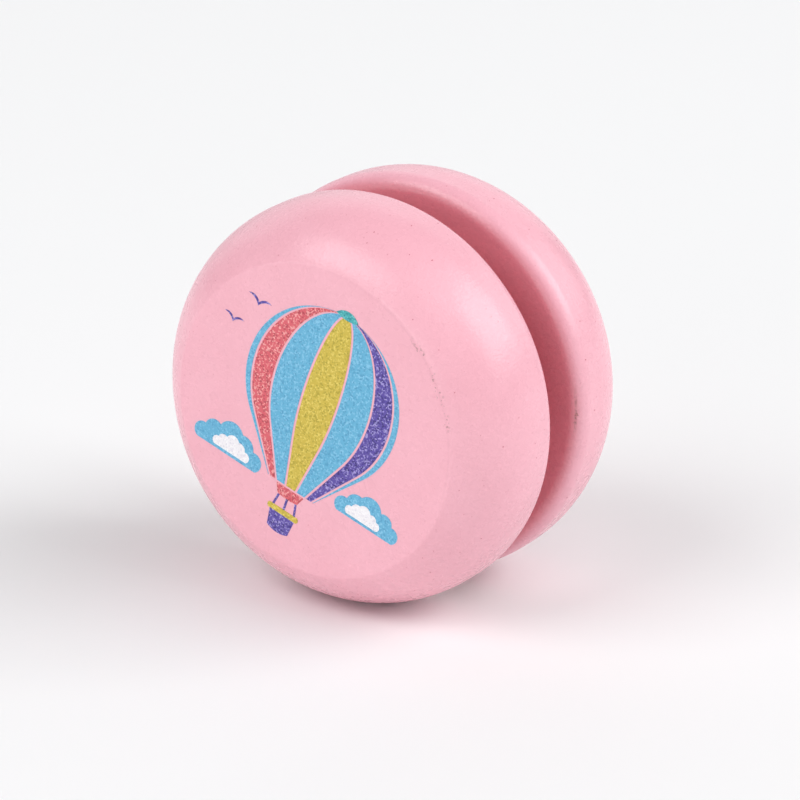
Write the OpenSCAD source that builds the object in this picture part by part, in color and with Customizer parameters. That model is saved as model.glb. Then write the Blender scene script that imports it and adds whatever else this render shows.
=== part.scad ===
// Turned wooden yo-yo: two blind-bored halves glued onto one hardwood dowel.
// The axle runs along Y. The origin is the middle of the axle, and +Z is up.
// The front half, which carries the picture, faces -Y.

/* [Overall] */
// Diameter over the two rims
yoyo_d = 50; // [46:1:60]
// Width from outer face to outer face
yoyo_w = 33; // [31:1:38]

/* [Turned profile of a half] */
// Diameter of the flat outer face
face_d = 38.5; // [32:0.5:41]
// Height above the mid-plane where the full diameter ends and the shoulder begins
crest_h = 6.8; // [6:0.1:8]
// Radius of the rounded edge between the rim and the string gap
gap_edge_r = 2.2; // [1:0.1:2.5]

/* [String gap] */
// Clear width between the halves beside the axle
gap_axle = 3.2; // [2.5:0.1:4]
// Clear width between the halves just inside the rounded edges
gap_rim = 5.6; // [4.5:0.1:6]

/* [Axle dowel] */
// Diameter of the dowel and of both bores
axle_d = 8; // [6:0.5:10]
// Length of dowel that is glued into each half
axle_grip = 11; // [8:0.5:12]
// Glue space left past each end of the dowel
glue_space = 0.5; // [0.3:0.1:1]
// Chamfer on the dowel's ends
axle_chamfer = 0.6; // [0.3:0.1:1]
// Countersink at the mouth of each bore
bore_chamfer = 0.4; // [0.2:0.1:0.8]

/* [Hidden] */
$fn = 96;

// Overlap that keeps a cut from ending on a face
slack = 0.1;

rim_r = yoyo_d / 2;
half_w = yoyo_w / 2;
face_r = face_d / 2;
axle_r = axle_d / 2;
edge_h = gap_rim / 2;

// The shoulder is one arc, tangent to the rim at crest_h and ending on the flat face's edge
shoulder_in = rim_r - face_r;
shoulder_rise = half_w - crest_h;
shoulder_r = (pow(shoulder_in, 2) + pow(shoulder_rise, 2)) / (2 * shoulder_in);

// The inner face is a shallow cone, tangent to the rounded gap edge
edge_c = [rim_r - gap_edge_r, edge_h + gap_edge_r];
cone_tilt = atan((gap_rim - gap_axle) / 2 / (edge_c[0] - axle_r));
cone_end = edge_c + gap_edge_r * [sin(cone_tilt), -cos(cone_tilt)];
cone_axis_h = cone_end[1] - cone_end[0] * tan(cone_tilt);

// The dowel reaches axle_grip past the inner face into each half
axle_end_h = gap_axle / 2 + axle_grip;
bore_end_h = axle_end_h + glue_space;

// Half section of one turned half: x is the radius and y the height above the mid-plane
module half_section() {
    polygon([
        [0, cone_axis_h],
        cone_end,
        [rim_r, edge_c[1]],
        [rim_r, crest_h],
        [face_r, half_w],
        [0, half_w]
    ]);
    translate(edge_c) circle(r = gap_edge_r);
    intersection() {
        translate([rim_r - shoulder_r, crest_h]) circle(r = shoulder_r);
        translate([rim_r - shoulder_r, crest_h]) square([shoulder_r, shoulder_rise]);
    }
}

// Blind bore for the dowel, with a countersunk mouth on the inner face
module axle_bore() {
    mouth_h = gap_axle / 2;
    cylinder(r = axle_r, h = bore_end_h);
    translate([0, 0, mouth_h - slack])
        cylinder(r1 = axle_r + bore_chamfer + slack, r2 = axle_r, h = bore_chamfer + slack);
}

// One half with its axis on +Z and its inner face towards the mid-plane
module turned_half() {
    difference() {
        rotate_extrude() half_section();
        axle_bore();
    }
}

// Half that faces -Y and carries the picture
module front_half() {
    color("lightpink") rotate([90, 0, 0]) turned_half();
}

// Plain half that faces +Y
module rear_half() {
    color("lightpink") rotate([-90, 0, 0]) turned_half();
}

// Half section of the dowel: x is the radius and y the height along the axle
module dowel_section() {
    polygon([
        [0, -axle_end_h],
        [axle_r - axle_chamfer, -axle_end_h],
        [axle_r, axle_chamfer - axle_end_h],
        [axle_r, axle_end_h - axle_chamfer],
        [axle_r - axle_chamfer, axle_end_h],
        [0, axle_end_h]
    ]);
}

// Dowel that joins the halves and carries the string's loop
module axle_dowel() {
    color("burlywood") rotate([90, 0, 0]) rotate_extrude() dowel_section();
}

front_half();
rear_half();
axle_dowel();
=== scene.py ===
import math

import bmesh
import bpy
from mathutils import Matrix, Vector


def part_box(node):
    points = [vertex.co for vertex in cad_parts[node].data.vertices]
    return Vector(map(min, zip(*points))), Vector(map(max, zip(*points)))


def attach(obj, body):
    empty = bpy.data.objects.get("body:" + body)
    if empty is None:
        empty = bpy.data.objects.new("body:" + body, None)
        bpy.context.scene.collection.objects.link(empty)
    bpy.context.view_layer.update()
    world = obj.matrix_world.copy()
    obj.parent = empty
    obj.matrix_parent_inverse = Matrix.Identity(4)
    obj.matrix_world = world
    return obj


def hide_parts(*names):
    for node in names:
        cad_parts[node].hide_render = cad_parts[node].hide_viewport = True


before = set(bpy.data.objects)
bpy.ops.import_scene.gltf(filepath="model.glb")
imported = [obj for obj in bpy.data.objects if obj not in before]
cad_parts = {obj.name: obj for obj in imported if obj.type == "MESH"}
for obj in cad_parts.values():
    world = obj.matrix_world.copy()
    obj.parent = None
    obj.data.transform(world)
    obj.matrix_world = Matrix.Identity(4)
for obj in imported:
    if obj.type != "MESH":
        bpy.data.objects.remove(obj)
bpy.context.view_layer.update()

# The axle dowel
# A short beech dowel, chamfered at both sawn ends and glued into a blind bore in each half.
# Only the few millimetres between the halves stay bare, and there the string's loop turns.

MM = 0.001
AXLE_CHAMFER = 0.6 * MM
dowel_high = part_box("axle_dowel")[1]
axle_radius = dowel_high.x
axle_end = dowel_high.y


def put(tree, kind, inputs=None, **settings):
    """Adds a node with its settings and its inputs, which are values or other nodes' sockets."""
    node = tree.nodes.new(kind)
    for name, value in settings.items():
        setattr(node, name, value)
    for key, value in (inputs or {}).items():
        if isinstance(value, bpy.types.NodeSocket):
            tree.links.new(value, node.inputs[key])
        else:
            node.inputs[key].default_value = value
    return node


def math_node(tree, operation, *terms):
    """Adds a Math node and returns its result."""
    return put(tree, "ShaderNodeMath", dict(enumerate(terms)), operation=operation).outputs[0]


def product(tree, first, *others):
    """Multiplies numbers with Math nodes and returns the result."""
    for other in others:
        first = math_node(tree, "MULTIPLY", first, other)
    return first


def whole_number(tree, operation, *terms):
    """Adds an Integer Math node and returns its result."""
    node = put(tree, "FunctionNodeIntegerMath", dict(enumerate(terms)), operation=operation)
    return node.outputs[0]


def vector_math(tree, operation, *terms):
    """Adds a Vector Math node and returns its result, a number for the operations that give one."""
    node = put(tree, "ShaderNodeVectorMath", dict(enumerate(terms)), operation=operation)
    return node.outputs["Value" if operation in ("LENGTH", "DOT_PRODUCT") else "Vector"]


def combine(tree, **parts):
    """Makes a vector of its X, Y and Z."""
    return put(tree, "ShaderNodeCombineXYZ", parts).outputs[0]


def separate(tree, vector):
    """Splits a vector, and returns sockets named X, Y and Z."""
    return put(tree, "ShaderNodeSeparateXYZ", {0: vector}).outputs


def ramp(tree, value, low, high, to_low=0.0, to_high=1.0):
    """Maps a value between two limits smoothly to another range."""
    inputs = {"Value": value, "From Min": low, "From Max": high, "To Min": to_low, "To Max": to_high}
    return put(tree, "ShaderNodeMapRange", inputs, interpolation_type="SMOOTHSTEP").outputs[0]


def geometry_tree(name, **sockets):
    """Starts a Geometry Nodes tree with the named inputs, and returns it with its input sockets."""
    tree = bpy.data.node_groups.new(name, "GeometryNodeTree")
    for way in ("OUTPUT", "INPUT"):
        tree.interface.new_socket("Geometry", in_out=way, socket_type="NodeSocketGeometry")
    for label, kind in sockets.items():
        tree.interface.new_socket(label, in_out="INPUT", socket_type="NodeSocket" + kind)
    return tree, tree.nodes.new("NodeGroupInput").outputs


def close_tree(tree, geometry, finish):
    """Ends a tree: instances made real, and the finish put on every face."""
    real = put(tree, "GeometryNodeRealizeInstances", {0: geometry})
    coated = put(tree, "GeometryNodeSetMaterial", {"Geometry": real.outputs[0], "Material": finish})
    put(tree, "NodeGroupOutput", {0: coated.outputs[0]})


def outline_points(tree, outline, columns):
    """Lays a grid with a row for each point of the outline, and returns the grid, each vertex's column
    and the point of the outline that its row stands for."""
    rows = put(tree, "GeometryNodeAttributeDomainSize", {0: outline}).outputs["Point Count"]
    grid = put(tree, "GeometryNodeMeshGrid", {"Vertices X": rows, "Vertices Y": columns}).outputs[0]
    index = put(tree, "GeometryNodeInputIndex").outputs[0]
    place = put(
        tree, "GeometryNodeSampleIndex",
        {"Geometry": outline, "Value": put(tree, "GeometryNodeInputPosition").outputs[0],
         "Index": whole_number(tree, "DIVIDE_FLOOR", index, columns)},
        data_type="FLOAT_VECTOR",
    )
    return grid, whole_number(tree, "MODULO", index, columns), separate(tree, place.outputs[0])


def lathe_tree():
    """Turns a half outline about the Y axis. Its steps round are finer near one angle from +Z to +X."""
    merge_within = 0.0005 * MM
    crisp_bend = math.radians(35)
    tree, given = geometry_tree(
        "lathe", Steps="Int", FineAngle="Float", Fineness="Float", Finish="Material",
    )
    columns = whole_number(tree, "ADD", given["Steps"], 1)
    grid, column, point = outline_points(tree, given["Geometry"], columns)
    turn = product(tree, math_node(tree, "DIVIDE", column, given["Steps"]), math.tau)
    squeeze = product(tree, math_node(tree, "SINE", turn), given["Fineness"])
    angle = math_node(tree, "ADD", math_node(tree, "SUBTRACT", turn, squeeze), given["FineAngle"])
    turned = combine(
        tree, X=product(tree, point["X"], math_node(tree, "SINE", angle)), Y=point["Y"],
        Z=product(tree, point["X"], math_node(tree, "COSINE", angle)),
    )
    shaped = put(tree, "GeometryNodeSetPosition", {"Geometry": grid, "Position": turned}).outputs[0]
    merged = put(tree, "GeometryNodeMergeByDistance", {"Geometry": shaped, "Distance": merge_within})
    smooth = put(
        tree, "GeometryNodeSetShadeSmooth", {"Geometry": merged.outputs[0], "Shade Smooth": True},
    )
    bend = put(tree, "GeometryNodeInputMeshEdgeAngle").outputs["Unsigned Angle"]
    crisp = put(
        tree, "GeometryNodeSetShadeSmooth",
        {"Geometry": smooth.outputs[0], "Shade Smooth": False,
         "Selection": math_node(tree, "GREATER_THAN", bend, crisp_bend)},
        domain="EDGE",
    )
    close_tree(tree, crisp.outputs[0], given["Finish"])
    return tree


def outline_mesh(name, points):
    """A mesh of edges only through the points in turn, which are (x, y) in metres."""
    mesh = bpy.data.meshes.new(name)
    edges = [(i, i + 1) for i in range(len(points) - 1)]
    mesh.from_pydata([(x, y, 0) for x, y in points], edges, [])
    return mesh


def make_piece(name, source, *steps):
    """Runs trees, each with its input values, on a mesh, and returns a plain closed mesh object."""
    piece = bpy.data.objects.new(name, source)
    bpy.context.scene.collection.objects.link(piece)
    for tree, values in steps:
        step = piece.modifiers.new(tree.name, "NODES")
        step.node_group = tree
        for socket in tree.interface.items_tree:
            if socket.in_out == "INPUT" and socket.name in values:
                step[socket.identifier] = values[socket.name]
    seen = piece.evaluated_get(bpy.context.evaluated_depsgraph_get())
    piece.data = bpy.data.meshes.new_from_object(seen)
    piece.modifiers.clear()
    piece.data.name = name
    shell = bmesh.new()
    shell.from_mesh(piece.data)
    bmesh.ops.recalc_face_normals(shell, faces=shell.faces)
    shell.to_mesh(piece.data)
    shell.free()
    return piece


def fasten(piece, slot, *nodes):
    """Says that a piece rides on the one body, and hides the CAD nodes it stands for. The slot is not
    used.
    """
    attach(piece, "root")
    if nodes:
        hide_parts(*nodes)


def millimetres(tree, **stretch):
    """Object coordinates in millimetres, stretched along an axis where a pattern runs along it."""
    scale = [stretch.get(axis, 1.0) / MM for axis in "xyz"]
    place = put(tree, "ShaderNodeTexCoord").outputs["Object"]
    return put(tree, "ShaderNodeMapping", {"Vector": place, "Scale": scale}).outputs[0]


def mix_colours(tree, share, first, second):
    """Mixes two colours by a share from 0 to 1 and returns the result."""
    node = put(tree, "ShaderNodeMix", {"Factor": share}, data_type="RGBA")
    colours = [socket for socket in node.inputs if socket.type == "RGBA"]
    for socket, value in zip(colours, (first, second)):
        if isinstance(value, bpy.types.NodeSocket):
            tree.links.new(value, socket)
        else:
            socket.default_value = (*value, 1)
    return next(socket for socket in node.outputs if socket.type == "RGBA")


def noise(tree, place, per_mm, detail=2.0, roughness=0.5):
    """Noise from 0 to 1 with so many grains to a millimetre."""
    inputs = {"Vector": place, "Scale": per_mm, "Detail": detail, "Roughness": roughness}
    return put(tree, "ShaderNodeTexNoise", inputs).outputs[0]


def scattered_cells(tree, place, per_mm):
    """Scatters cells. Returns how far a place is off its cell's middle, and two chances of the cell."""
    cells = put(tree, "ShaderNodeTexVoronoi", {"Vector": place, "Scale": per_mm}).outputs
    chance = put(tree, "ShaderNodeSeparateColor", {0: cells["Color"]}).outputs
    return cells["Distance"], chance[0], chance[1]


def bump(tree, height, distance, strength=1.0, **below):
    """Adds relief of a height in metres, and returns the normal. Normal may name the relief below it."""
    inputs = {"Strength": strength, "Distance": distance, "Height": height, **below}
    return put(tree, "ShaderNodeBump", inputs).outputs[0]


def new_finish(name, **values):
    """Starts a material with one Principled shader and returns it, its tree and the shader's inputs."""
    finish = bpy.data.materials.new(name)
    finish.use_nodes = True
    tree = finish.node_tree
    shader = tree.nodes["Principled BSDF"]
    for socket, value in values.items():
        shader.inputs[socket.replace("_", " ")].default_value = value
    return finish, tree, shader.inputs


def bare_beech():
    """Beech: straight fibre along the axle, with short dark flecks."""
    fibre_dark = (0.50, 0.31, 0.16)
    fibre_pale = (0.76, 0.56, 0.34)
    fleck_brown = (0.30, 0.15, 0.07)
    finish, tree, shader = new_finish("bare_beech", Roughness=0.62)
    fibre = noise(tree, millimetres(tree, y=0.06), per_mm=3.0, detail=4.0, roughness=0.6)
    flecks = noise(tree, millimetres(tree, y=0.15), per_mm=5.0, detail=1.0)
    flecks = ramp(tree, flecks, low=0.62, high=0.74, to_high=0.7)
    wood = mix_colours(tree, fibre, fibre_dark, fibre_pale)
    tree.links.new(mix_colours(tree, flecks, wood, fleck_brown), shader["Base Color"])
    tree.links.new(bump(tree, fibre, distance=0.02 * MM, strength=0.6), shader["Normal"])
    return finish


lathe = lathe_tree()
dowel_outline = [
    (0, -axle_end), (axle_radius - AXLE_CHAMFER, -axle_end), (axle_radius, AXLE_CHAMFER - axle_end),
    (axle_radius, axle_end - AXLE_CHAMFER), (axle_radius - AXLE_CHAMFER, axle_end), (0, axle_end),
]
dowel_turning = {"Steps": 96, "FineAngle": 0.0, "Fineness": 0.0, "Finish": bare_beech()}
dowel = make_piece("dowel", outline_mesh("dowel_outline", dowel_outline), (lathe, dowel_turning))
fasten(dowel, "bare_wood", "axle_dowel")

# The two turned halves
# Each is one piece of close-grained wood with its fibre along the axle, turned to a rounded
# shoulder and a flat face, bored, sanded, and sprayed with satin pink paint inside and out.

FACE_RADIUS = 19.25 * MM
CREST = 6.8 * MM
GAP_EDGE_RADIUS = 2.2 * MM
GAP_AT_RIM = 5.6 * MM
CREASE_RADIUS = 0.9 * MM
BORE_CHAMFER = 0.4 * MM
GLUE_LINE = 0.02 * MM
GLUE_SPACE = 0.5 * MM
half_low, half_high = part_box("rear_half")
rim_radius = half_high.z
face_place = half_high.y
inner_place = half_low.y


def arc(centre, radius, start, end, steps):
    """Points on an arc, both ends among them. Angles are in radians, anticlockwise from +X."""
    turns = [start + (end - start) * i / steps for i in range(steps + 1)]
    return [(centre[0] + radius * math.cos(a), centre[1] + radius * math.sin(a)) for a in turns]


def half_outline(side):
    """Outline of a half from its bore's bottom to its flat face's middle. side is 1 for the rear."""
    edge_steps = 34
    cone_steps = 24
    shoulder_steps = 30
    crease_steps = 10
    face_steps = 16
    bore = axle_radius + GLUE_LINE
    bore_end = axle_end + GLUE_SPACE

    shoulder_in = rim_radius - FACE_RADIUS
    shoulder_rise = face_place - CREST
    shoulder = (shoulder_in ** 2 + shoulder_rise ** 2) / (2 * shoulder_in)
    shoulder_centre = (rim_radius - shoulder, CREST)
    crease_turn = math.asin((shoulder_rise - CREASE_RADIUS) / (shoulder - CREASE_RADIUS))
    crease_reach = (shoulder - CREASE_RADIUS) * math.cos(crease_turn)
    crease_centre = (shoulder_centre[0] + crease_reach, face_place - CREASE_RADIUS)

    edge_centre = (rim_radius - GAP_EDGE_RADIUS, GAP_AT_RIM / 2 + GAP_EDGE_RADIUS)
    cone_tilt = math.atan((GAP_AT_RIM / 2 - inner_place) / (edge_centre[0] - axle_radius))
    edge = arc(edge_centre, GAP_EDGE_RADIUS, cone_tilt - math.pi / 2, 0, edge_steps)
    cone_start = bore + BORE_CHAMFER
    cone_run = edge[0][0] - cone_start
    mouth = edge[0][1] - cone_run * math.tan(cone_tilt)
    cone_rise = edge[0][1] - mouth
    shares = [i / cone_steps for i in range(cone_steps)]
    cone = [(cone_start + cone_run * share, mouth + cone_rise * share) for share in shares]

    points = [(0, bore_end), (bore, bore_end), (bore, mouth + BORE_CHAMFER)] + cone + edge
    points += arc(shoulder_centre, shoulder, 0, crease_turn, shoulder_steps)
    points += arc(crease_centre, CREASE_RADIUS, crease_turn, math.pi / 2, crease_steps)[1:]
    points += [(crease_centre[0] * (1 - i / face_steps), face_place) for i in range(1, face_steps + 1)]
    return [(radius, place * side) for radius, place in points]


def bruise_tree():
    """Knocks small chips out of an edge, and rubs a line along it. The attribute bruise says how bare
    the edge is: on each chip's broken rim, and on the line."""
    tree, given = geometry_tree(
        "bruises", Chips="Int", RingRadius="Float", RingPlace="Float", Middle="Float", Spread="Float",
        Drift="Float", Smallest="Float", Largest="Float", Depth="Float", Rub="Float", Seed="Int",
        Finish="Material",
    )

    def between(low, high, salt):
        """A random number for each chip."""
        node = put(tree, "FunctionNodeRandomValue", data_type="FLOAT")
        sockets = {socket.name: socket for socket in node.inputs if socket.enabled}
        seed = whole_number(tree, "ADD", given["Seed"], salt)
        for key, value in {"Min": low, "Max": high, "Seed": seed}.items():
            if isinstance(value, bpy.types.NodeSocket):
                tree.links.new(value, sockets[key])
            else:
                sockets[key].default_value = value
        return next(socket for socket in node.outputs if socket.enabled)

    def patches_of(per_mm, detail):
        """Noise at the mesh's own places, which are in metres."""
        return put(tree, "ShaderNodeTexNoise", {"Scale": per_mm / MM, "Detail": detail}).outputs[0]

    def near_to(middle, reach, salt):
        """A number for each chip, off the middle by as much as the reach."""
        return math_node(tree, "MULTIPLY_ADD", between(-1.0, 1.0, salt), reach, middle)

    turn = near_to(given["Middle"], given["Spread"], salt=1)
    radius = near_to(given["RingRadius"], given["Drift"], salt=2)
    place = near_to(given["RingPlace"], given["Drift"], salt=3)
    spot = combine(
        tree, X=product(tree, radius, math_node(tree, "SINE", turn)), Y=place,
        Z=product(tree, radius, math_node(tree, "COSINE", turn)),
    )
    spots = put(tree, "GeometryNodePoints", {"Count": given["Chips"], "Position": spot}).outputs[0]
    near = put(tree, "GeometryNodeProximity", {0: spots}, target_element="POINTS")
    nearest = put(tree, "GeometryNodeSampleNearest", {0: spots}, domain="POINT").outputs[0]
    sizes = between(given["Smallest"], given["Largest"], salt=4)
    size = put(
        tree, "GeometryNodeSampleIndex", {"Geometry": spots, "Value": sizes, "Index": nearest},
        data_type="FLOAT",
    ).outputs[0]
    mean_to_one = 2.0
    ragged = product(tree, patches_of(per_mm=4.5, detail=2.0), mean_to_one)
    away = product(tree, math_node(tree, "DIVIDE", near.outputs["Distance"], size), ragged)
    hollow = ramp(tree, away, low=0.5, high=1.0, to_low=1.0, to_high=0.0)

    patchy = patches_of(per_mm=3.2, detail=1.0)
    chip_rim = 0.95
    off_rim = math_node(tree, "ABSOLUTE", math_node(tree, "SUBTRACT", away, chip_rim))
    broken = ramp(tree, off_rim, low=0.1, high=0.5, to_low=1.0, to_high=0.0)
    broken = product(tree, broken, ramp(tree, patchy, low=0.42, high=0.56))

    point = separate(tree, put(tree, "GeometryNodeInputPosition").outputs[0])
    from_axle = vector_math(tree, "LENGTH", combine(tree, X=point["X"], Y=point["Z"]))
    off_ring = combine(
        tree, X=math_node(tree, "SUBTRACT", from_axle, given["RingRadius"]),
        Y=math_node(tree, "SUBTRACT", point["Y"], given["RingPlace"]),
    )
    off_ring = math_node(tree, "DIVIDE", vector_math(tree, "LENGTH", off_ring), given["Rub"])
    heading = math_node(tree, "ARCTAN2", point["X"], point["Z"])
    off_middle = math_node(tree, "ABSOLUTE", math_node(tree, "SUBTRACT", heading, given["Middle"]))
    off_middle = math_node(tree, "DIVIDE", off_middle, given["Spread"])
    rubbed = product(
        tree, ramp(tree, off_ring, low=0.3, high=1.0, to_low=1.0, to_high=0.0),
        ramp(tree, off_middle, low=0.6, high=1.3, to_low=1.0, to_high=0.0),
        ramp(tree, patchy, low=0.35, high=0.65, to_low=0.1, to_high=0.6),
    )

    marked = put(
        tree, "GeometryNodeStoreNamedAttribute",
        {"Geometry": given["Geometry"], "Name": "bruise",
         "Value": math_node(tree, "MAXIMUM", broken, rubbed)},
        data_type="FLOAT", domain="POINT",
    ).outputs[0]
    inward = put(
        tree, "ShaderNodeVectorMath",
        {"Vector": put(tree, "GeometryNodeInputNormal").outputs[0],
         "Scale": product(tree, hollow, given["Depth"], -1.0)},
        operation="SCALE",
    ).outputs[0]
    chipped = put(tree, "GeometryNodeSetPosition", {"Geometry": marked, "Offset": inward}).outputs[0]
    close_tree(tree, chipped, given["Finish"])
    return tree


def pink_paint():
    """Satin pink paint over sanded wood: orange peel, raised fibre, open pores, grime where worn, and
    painted shade in the string gap and along the face's crease.
    """
    pink_deep = (0.866, 0.434, 0.512)
    pink_pale = (0.882, 0.450, 0.530)
    groove_shade_pink = (0.74, 0.245, 0.30)
    pore_red = (0.48, 0.07, 0.11)
    crease_shade = (0.42, 0.16, 0.20)
    crease_strength = 0.09
    grime_brown = (0.30, 0.17, 0.15)
    grime_strength = 0.75
    bruise_brown = (0.24, 0.11, 0.08)
    bruise_strength = 0.8
    finish, tree, shader = new_finish("pink_paint", IOR=1.5, Roughness=0.28)
    place = millimetres(tree)
    cloud = noise(tree, place, per_mm=0.16, detail=3.0)
    colour = mix_colours(tree, ramp(tree, cloud, low=0.3, high=0.7), pink_deep, pink_pale)

    spread = vector_math(tree, "MULTIPLY", place, (1, 0, 1))
    radius = vector_math(tree, "LENGTH", spread)
    along = separate(tree, place)["Y"]
    # Painted shade: inside the string gap the paint is mixed to a deeper pink. It stands in for the
    # shade and the deep pink bounce light between the halves.
    gap_side = GAP_AT_RIM / MM / 2 + GAP_EDGE_RADIUS / MM
    inside = math_node(tree, "LESS_THAN", math_node(tree, "ABSOLUTE", along), gap_side)
    inside = product(tree, inside, ramp(tree, radius, low=23.3, high=24.7, to_low=1.0, to_high=0.0))
    colour = mix_colours(tree, inside, colour, groove_shade_pink)

    off_pore, pore_size, pore_depth = scattered_cells(tree, millimetres(tree, y=0.6), per_mm=1.4)
    pore_size = ramp(tree, pore_size, low=0.35, high=1.0, to_low=0.02, to_high=0.125)
    pore_depth = ramp(tree, pore_depth, low=0.40, high=1.0, to_low=0.25, to_high=0.85)
    pore = math_node(tree, "LESS_THAN", off_pore, pore_size)
    colour = mix_colours(tree, product(tree, pore, pore_depth), colour, pore_red)

    # Painted shade: a faint darker line just inside the crease of the front face, on its right side. The
    # grime specks below share its heading.
    crease_inset = 0.35
    off_crease = math_node(tree, "SUBTRACT", radius, FACE_RADIUS / MM - crease_inset)
    off_crease = math_node(tree, "ABSOLUTE", off_crease)
    front = math_node(tree, "LESS_THAN", along, 0.0)
    grime_and_shade_heading = (0.913, 0, 0.408)
    heading = vector_math(tree, "NORMALIZE", spread)
    toward_grime_and_shade = vector_math(tree, "DOT_PRODUCT", heading, grime_and_shade_heading)
    crease_line = product(
        tree, ramp(tree, off_crease, low=0.06, high=0.20, to_low=1.0, to_high=0.0), front,
        ramp(tree, toward_grime_and_shade, low=0.55, high=0.95), crease_strength,
    )
    colour = mix_colours(tree, crease_line, colour, crease_shade)
    patches = noise(tree, place, per_mm=0.5, detail=1.0)
    specks = noise(tree, place, per_mm=3.2, detail=1.0)
    grime = product(
        tree, ramp(tree, off_crease, low=0.10, high=0.65, to_low=1.0, to_high=0.0), front,
        ramp(tree, toward_grime_and_shade, low=0.93, high=0.985), ramp(tree, patches, low=0.44, high=0.54),
        ramp(tree, specks, low=0.57, high=0.66), grime_strength,
    )
    colour = mix_colours(tree, grime, colour, grime_brown)

    bruise = put(tree, "ShaderNodeAttribute", attribute_name="bruise").outputs["Fac"]
    colour = mix_colours(tree, product(tree, bruise, bruise_strength), colour, bruise_brown)
    tree.links.new(colour, shader["Base Color"])

    gloss = noise(tree, place, per_mm=0.7)
    gloss = ramp(tree, gloss, low=0.3, high=0.7, to_low=0.25, to_high=0.31)
    tree.links.new(gloss, shader["Roughness"])
    peel = bump(tree, noise(tree, place, per_mm=3.2), distance=0.025 * MM)
    fibre = noise(tree, millimetres(tree, y=0.08), per_mm=2.6)
    tree.links.new(bump(tree, fibre, distance=0.025 * MM, Normal=peel), shader["Normal"])
    return finish


paint = pink_paint()
bruises = bruise_tree()
EDGE_SPOT = math.radians(-58)
edge_radius = rim_radius - GAP_EDGE_RADIUS + GAP_EDGE_RADIUS * math.cos(EDGE_SPOT)
edge_place = GAP_AT_RIM / 2 + GAP_EDGE_RADIUS + GAP_EDGE_RADIUS * math.sin(EDGE_SPOT)
turning = {"Steps": 540, "FineAngle": math.radians(91), "Fineness": 0.75, "Finish": paint}
knocks = {
    "Chips": 5, "RingRadius": edge_radius, "RingPlace": edge_place, "Middle": math.radians(89.5),
    "Spread": math.radians(6), "Drift": 0.14 * MM, "Smallest": 0.08 * MM, "Largest": 0.19 * MM,
    "Depth": 0.05 * MM, "Rub": 0.22 * MM, "Seed": 9, "Finish": paint,
}
front_turned_half = make_piece(
    "front_turned_half", outline_mesh("front_outline", half_outline(-1)), (lathe, turning),
)
fasten(front_turned_half, "pink_paint", "front_half")
rear_turned_half = make_piece(
    "rear_turned_half", outline_mesh("rear_outline", half_outline(1)),
    (lathe, turning), (bruises, knocks),
)
fasten(rear_turned_half, "pink_paint", "rear_half")

# The printed picture
# Thin films of ink printed straight on the paint of the front face: a striped balloon over
# clouds. The face was a little turned when the picture went on, so the picture leans.

INK_HEIGHT = 0.03 * MM
OVERPRINT_HEIGHT = 0.045 * MM
INK_ROOT = 0.02 * MM
PICTURE_LEAN = math.radians(-20)
GORES = 7
GORE_GAP = 0.3 * MM
BALLOON_RADIUS = 11.0 * MM
BALLOON_CENTRE = 3.7 * MM
BALLOON_MOUTH = -9.6 * MM
BALLOON_TOP_TURN = math.radians(82)
BALLOON_TAIL_TURN = math.radians(-38)
ROUND_STEPS = 36
TAIL_STEPS = 6


def ink(name, colour, dark, light):
    """Ink that has dried in fine grains, some darker and some paler than the rest."""
    finish, tree, shader = new_finish(name, Roughness=0.42)
    off_grain, darker, paler = scattered_cells(tree, millimetres(tree), per_mm=5.0)
    darker = ramp(tree, darker, low=0.05, high=0.45, to_low=1.0, to_high=0.0)
    paler = ramp(tree, paler, low=0.60, high=0.95)
    shade = mix_colours(tree, paler, mix_colours(tree, darker, colour, dark), light)
    tree.links.new(shade, shader["Base Color"])
    tree.links.new(bump(tree, off_grain, distance=0.01 * MM, strength=0.8), shader["Normal"])
    return finish


def gore_tree():
    """Lays a balloon's cloth gores out flat, as seen from the front, from the outline of its side."""
    narrowest = 0.04 * MM
    tree, given = geometry_tree(
        "balloon_gores", First="Int", Every="Int", Shown="Int", Gores="Int", Gap="Float",
    )
    columns = whole_number(tree, "MULTIPLY", given["Shown"], 2)
    grid, column, point = outline_points(tree, given["Geometry"], columns)
    gore = whole_number(tree, "DIVIDE_FLOOR", column, 2)
    gore = whole_number(tree, "MULTIPLY", gore, given["Every"])
    gore = whole_number(tree, "ADD", gore, given["First"])
    side = math_node(tree, "MULTIPLY_ADD", whole_number(tree, "MODULO", column, 2), 2.0, -1.0)

    def seam(number):
        """Where a seam between gores stands across a balloon of radius 1."""
        turn = product(tree, math_node(tree, "DIVIDE", number, given["Gores"]), math.pi)
        return product(tree, math_node(tree, "COSINE", turn), -1.0)

    left = seam(gore)
    right = seam(whole_number(tree, "ADD", gore, 1))
    middle = product(tree, math_node(tree, "ADD", left, right), 0.5, point["X"])
    half_width = product(tree, math_node(tree, "SUBTRACT", right, left), 0.5, point["X"])
    half_width = math_node(tree, "SUBTRACT", half_width, product(tree, given["Gap"], 0.5))
    half_width = math_node(tree, "MAXIMUM", half_width, narrowest)
    across = math_node(tree, "MULTIPLY_ADD", side, half_width, middle)
    flat = combine(tree, X=across, Y=point["Y"])
    shaped = put(tree, "GeometryNodeSetPosition", {"Geometry": grid, "Position": flat}).outputs[0]
    strips = whole_number(tree, "SUBTRACT", columns, 1)
    strip = whole_number(tree, "MODULO", put(tree, "GeometryNodeInputIndex").outputs[0], strips)
    apart = put(
        tree, "GeometryNodeDeleteGeometry",
        {"Geometry": shaped, "Selection": whole_number(tree, "MODULO", strip, 2)}, domain="FACE",
    )
    put(tree, "NodeGroupOutput", {0: apart.outputs[0]})
    return tree


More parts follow.
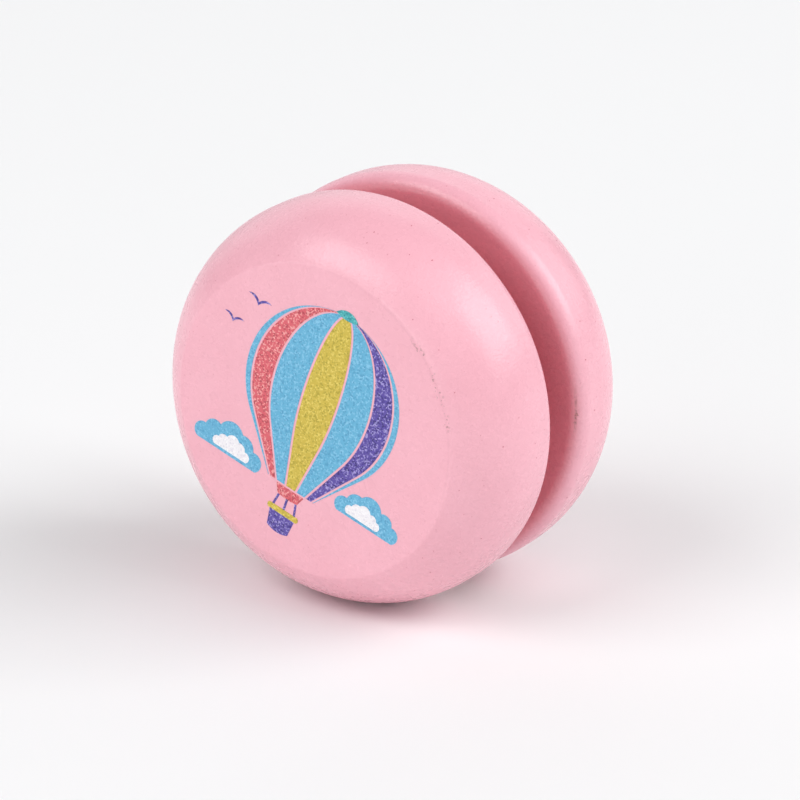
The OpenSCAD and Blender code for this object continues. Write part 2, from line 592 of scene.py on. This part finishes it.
def film_tree():
    """Raises flat shapes into thin closed films of ink on the front face, and leans them."""
    merge_within = 0.002 * MM
    tree, given = geometry_tree(
        "ink_film", Face="Float", Height="Float", Root="Float", Lean="Float", Finish="Material",
    )
    place = put(tree, "GeometryNodeInputPosition").outputs[0]
    leaned = put(
        tree, "ShaderNodeVectorRotate", {"Vector": place, "Angle": given["Lean"]},
        rotation_type="Z_AXIS",
    )
    point = separate(tree, leaned.outputs[0])
    foot = math_node(tree, "ADD", given["Face"], given["Root"])
    on_face = combine(tree, X=point["X"], Y=foot, Z=point["Y"])
    base = put(tree, "GeometryNodeSetPosition", {"Geometry": given["Geometry"], "Position": on_face})
    rise = product(tree, math_node(tree, "ADD", given["Height"], given["Root"]), -1.0)
    raised = put(
        tree, "GeometryNodeExtrudeMesh",
        {"Mesh": base.outputs[0], "Offset": combine(tree, Y=rise), "Offset Scale": 1.0,
         "Individual": False},
        mode="FACES",
    )
    under = put(tree, "GeometryNodeFlipFaces", {0: base.outputs[0]})
    both = put(tree, "GeometryNodeJoinGeometry")
    tree.links.new(under.outputs[0], both.inputs[0])
    tree.links.new(raised.outputs[0], both.inputs[0])
    merged = put(
        tree, "GeometryNodeMergeByDistance", {"Geometry": both.outputs[0], "Distance": merge_within},
    )
    close_tree(tree, merged.outputs[0], given["Finish"])
    return tree


def bulged(corners):
    """Points of a closed outline in metres. Each corner is x, y in millimetres and the bulge of the
    side after it: 0 is straight, 1 a half circle on its right, and -1 a half circle on its left."""
    straight = 0.01
    step = 0.35
    fewest = 3
    points = []
    for here, after in zip(corners, corners[1:] + corners[:1]):
        start = Vector(here[:2])
        end = Vector(after[:2])
        bulge = here[2]
        if abs(bulge) < straight:
            points.append(start)
            continue
        chord = end - start
        sweep = 4 * math.atan(bulge)
        radius = chord.length / 2 / math.sin(abs(sweep) / 2)
        count = max(fewest, round(radius * abs(sweep) / step))
        side = Vector((chord.y, -chord.x)) / chord.length
        middle = (start + end) / 2 - side * (chord.length / 2) / math.tan(sweep / 2)
        arm = start - middle
        for i in range(count):
            cos = math.cos(sweep * i / count)
            sin = math.sin(sweep * i / count)
            points.append(middle + Vector((arm.x * cos - arm.y * sin, arm.x * sin + arm.y * cos)))
    return [(p.x * MM, p.y * MM) for p in points]


def moved(corners, across, up, size=1.0, flip=1):
    """The same corners elsewhere, larger or smaller, and mirrored left to right where flip is -1."""
    return [(across + flip * size * x, up + size * y, bulge * flip) for x, y, bulge in corners]


def flat_shapes(name, outlines):
    """A flat mesh with one face for each outline."""
    mesh = bpy.data.meshes.new(name)
    points = []
    faces = []
    for outline in outlines:
        faces.append(list(range(len(points), len(points) + len(outline))))
        points += outline
    mesh.from_pydata([(x, y, 0) for x, y in points], [], faces)
    return mesh


def rope(foot_x):
    """One of the basket's ropes, closer in at the skirt than at the basket's rim."""
    narrowing = 0.8
    top_x = foot_x * narrowing
    top = -11.15
    foot = -12.8
    width = 0.3
    return [(top_x, top, 0), (foot_x, foot, 0), (foot_x + width, foot, 0), (top_x + width, top, 0)]


CLOUD = [
    (-4.2, -1.3, 0), (4.2, -1.3, 0.85), (3.3, 0.9, 0.45),
    (1.4, 2.1, 0.62), (-1.7, 1.7, 0.55), (-3.6, 0.8, 0.85),
]
BIRD = [(-1.7, 0.5, -0.42), (0, 0, -0.42), (1.7, 0.5, 0.28), (0, -0.45, 0.28)]
BASKET = [(-1.9, -13.1, 0), (-1.55, -15.6, 0.25), (1.55, -15.6, 0), (1.9, -13.1, 0)]
RIM = [(-2.1, -12.7, 0.6), (-2.1, -13.45, 0), (2.1, -13.45, 0.6), (2.1, -12.7, 0)]
SKIRT = [(-2.05, -9.85, 0), (-1.5, -11.05, 0.12), (1.5, -11.05, 0), (2.05, -9.85, 0)]
CROWN = [(-1.6, 14.62, 0.2), (1.6, 14.62, 0.5)]
ROPES = [rope(-1.75), rope(-0.15), rope(1.45)]
BIRDS = [moved(BIRD, -11.6, 10.0), moved(BIRD, -14.2, 6.2, 0.85)]
CLOUDS = [moved(CLOUD, -9.7, -9.2, 1.06), moved(CLOUD, 10.6, -7.2, 0.97, -1)]
CLOUD_LIGHTS = [moved(CLOUD, -9.2, -9.4, 0.58), moved(CLOUD, 10.1, -7.4, 0.53, -1)]

side_of_balloon = arc(
    (0, BALLOON_CENTRE), BALLOON_RADIUS, BALLOON_TOP_TURN, BALLOON_TAIL_TURN, ROUND_STEPS,
)
tail_x, tail_y = side_of_balloon[-1]
drop = BALLOON_MOUTH - tail_y
draw_in = drop * math.tan(-BALLOON_TAIL_TURN)
side_of_balloon += [
    (tail_x + draw_in * i / TAIL_STEPS, tail_y + drop * i / TAIL_STEPS) for i in range(1, TAIL_STEPS + 1)
]
gores = gore_tree()
film = film_tree()


def film_values(finish, height=INK_HEIGHT):
    """Input values that raise a film of one ink on the front face."""
    return {
        "Face": -face_place, "Height": height, "Root": INK_ROOT, "Lean": PICTURE_LEAN, "Finish": finish,
    }


def print_film(name, slot, finish, outlines, height=INK_HEIGHT):
    """Prints closed outlines as one film."""
    flat = flat_shapes(name + "_flat", [bulged(outline) for outline in outlines])
    fasten(make_piece(name, flat, (film, film_values(finish, height))), slot)


def print_gores(name, slot, finish, first, every, shown):
    """Prints some of the balloon's gores as one film."""
    side = outline_mesh(name + "_side", side_of_balloon)
    layout = {"First": first, "Every": every, "Shown": shown, "Gores": GORES, "Gap": GORE_GAP}
    fasten(make_piece(name, side, (gores, layout), (film, film_values(finish))), slot)


sky_blue = ink("sky_blue_ink", (0.12, 0.43, 0.65), (0.08, 0.33, 0.55), (0.23, 0.55, 0.76))
violet = ink("violet_ink", (0.095, 0.062, 0.35), (0.035, 0.02, 0.18), (0.36, 0.31, 0.66))
yellow = ink("yellow_ink", (0.60, 0.455, 0.055), (0.44, 0.34, 0.03), (0.74, 0.60, 0.12))
coral = ink("coral_ink", (0.69, 0.11, 0.14), (0.46, 0.05, 0.075), (0.86, 0.38, 0.37))
teal = ink("teal_ink", (0.05, 0.40, 0.42), (0.02, 0.26, 0.30), (0.16, 0.58, 0.60))
white = ink("white_ink", (0.86, 0.84, 0.87), (0.74, 0.72, 0.78), (0.93, 0.92, 0.94))

print_gores("sky_blue_gores", "sky_blue_ink", sky_blue, first=0, every=2, shown=4)
print_gores("coral_gore", "coral_ink", coral, first=1, every=1, shown=1)
print_gores("yellow_gore", "yellow_ink", yellow, first=3, every=1, shown=1)
print_gores("violet_gore", "violet_ink", violet, first=5, every=1, shown=1)
print_film("sky_blue_clouds", "sky_blue_ink", sky_blue, CLOUDS)
print_film("white_clouds", "white_ink", white, CLOUD_LIGHTS, OVERPRINT_HEIGHT)
print_film("violet_basket", "violet_ink", violet, [BASKET, *ROPES, *BIRDS])
print_film("yellow_rim", "yellow_ink", yellow, [RIM], OVERPRINT_HEIGHT)
print_film("coral_skirt", "coral_ink", coral, [SKIRT])
print_film("teal_crown", "teal_ink", teal, [CROWN], OVERPRINT_HEIGHT)

# The studio
# A pale table, a key light at the right, softer lights and white cards round about, and a
# camera a little above the yo-yo, off to the right of its front face.

CAMERA_AZIMUTH = math.radians(33.9)
CAMERA_ELEVATION = math.radians(19.7)
CAMERA_DISTANCE = 9.0 * 2 * rim_radius
CAMERA_LENS = 168.6
CAMERA_SENSOR = 36
CAMERA_CLIP = 0.01
AIM_RIGHT = 1.0 * MM
AIM_UP = -2.1 * MM
LIGHT_DISTANCE = 3.2
TABLE_REACH = 3.0
TABLE_COLOUR = (0.88, 0.88, 0.885, 1)
AIR_COLOUR = (0.97, 0.98, 1.0, 1)
AIR_STRENGTH = 0.2


def toward(azimuth, elevation):
    """Direction from the yo-yo, with azimuth 0 towards -Y and 90 degrees towards +X."""
    flat = math.cos(elevation)
    return Vector((math.sin(azimuth) * flat, -math.cos(azimuth) * flat, math.sin(elevation)))


back = toward(CAMERA_AZIMUTH, CAMERA_ELEVATION)
right = Vector((math.cos(CAMERA_AZIMUTH), math.sin(CAMERA_AZIMUTH), 0))
up = back.cross(right)
camera = bpy.data.objects.new("camera", bpy.data.cameras.new("camera"))
camera.location = back * CAMERA_DISTANCE
aim = right * AIM_RIGHT + up * AIM_UP
camera.rotation_euler = (aim - camera.location).to_track_quat("-Z", "Y").to_euler()
camera.data.lens = CAMERA_LENS
camera.data.sensor_width = CAMERA_SENSOR
camera.data.clip_start = CAMERA_CLIP
bpy.context.scene.collection.objects.link(camera)
bpy.context.scene.camera = camera
bpy.context.scene.view_settings.view_transform = "Standard"


def softbox(name, azimuth, elevation, width, height, watts):
    """A soft area light that faces the yo-yo. Its angles are in degrees."""
    light = bpy.data.lights.new(name, "AREA")
    light.shape = "RECTANGLE"
    light.size = width
    light.size_y = height
    light.energy = watts
    lamp = bpy.data.objects.new(name, light)
    lamp.location = toward(math.radians(azimuth), math.radians(elevation)) * LIGHT_DISTANCE
    lamp.rotation_euler = (-lamp.location).to_track_quat("-Z", "Y").to_euler()
    bpy.context.scene.collection.objects.link(lamp)


softbox("key_light", azimuth=113, elevation=36, width=2.60, height=1.95, watts=62.0)
softbox("rear_light", azimuth=148, elevation=24, width=2.15, height=1.60, watts=12.5)
softbox("right_card", azimuth=82, elevation=56, width=3.20, height=1.80, watts=20.0)
softbox("fill_light", azimuth=-28, elevation=48, width=2.20, height=1.60, watts=41.0)
softbox("front_card", azimuth=-12, elevation=12, width=4.25, height=1.45, watts=36.5)
softbox("back_card", azimuth=-138, elevation=24, width=5.00, height=2.50, watts=30.0)

table_mesh = bpy.data.meshes.new("table")
table_corners = [
    (x * TABLE_REACH, y * TABLE_REACH, -rim_radius) for x, y in ((-1, -1), (1, -1), (1, 1), (-1, 1))
]
table_mesh.from_pydata(table_corners, [], [(0, 1, 2, 3)])
table = bpy.data.objects.new("table", table_mesh)
bpy.context.scene.collection.objects.link(table)
table_finish, _, table_shader = new_finish("table_white", Roughness=0.7, Specular_IOR_Level=0.2)
table_shader["Base Color"].default_value = TABLE_COLOUR
table.data.materials.append(table_finish)

air = bpy.data.worlds.new("studio_air")
air.use_nodes = True
background = air.node_tree.nodes["Background"].inputs
background["Color"].default_value = AIR_COLOUR
background["Strength"].default_value = AIR_STRENGTH
bpy.context.scene.world = air
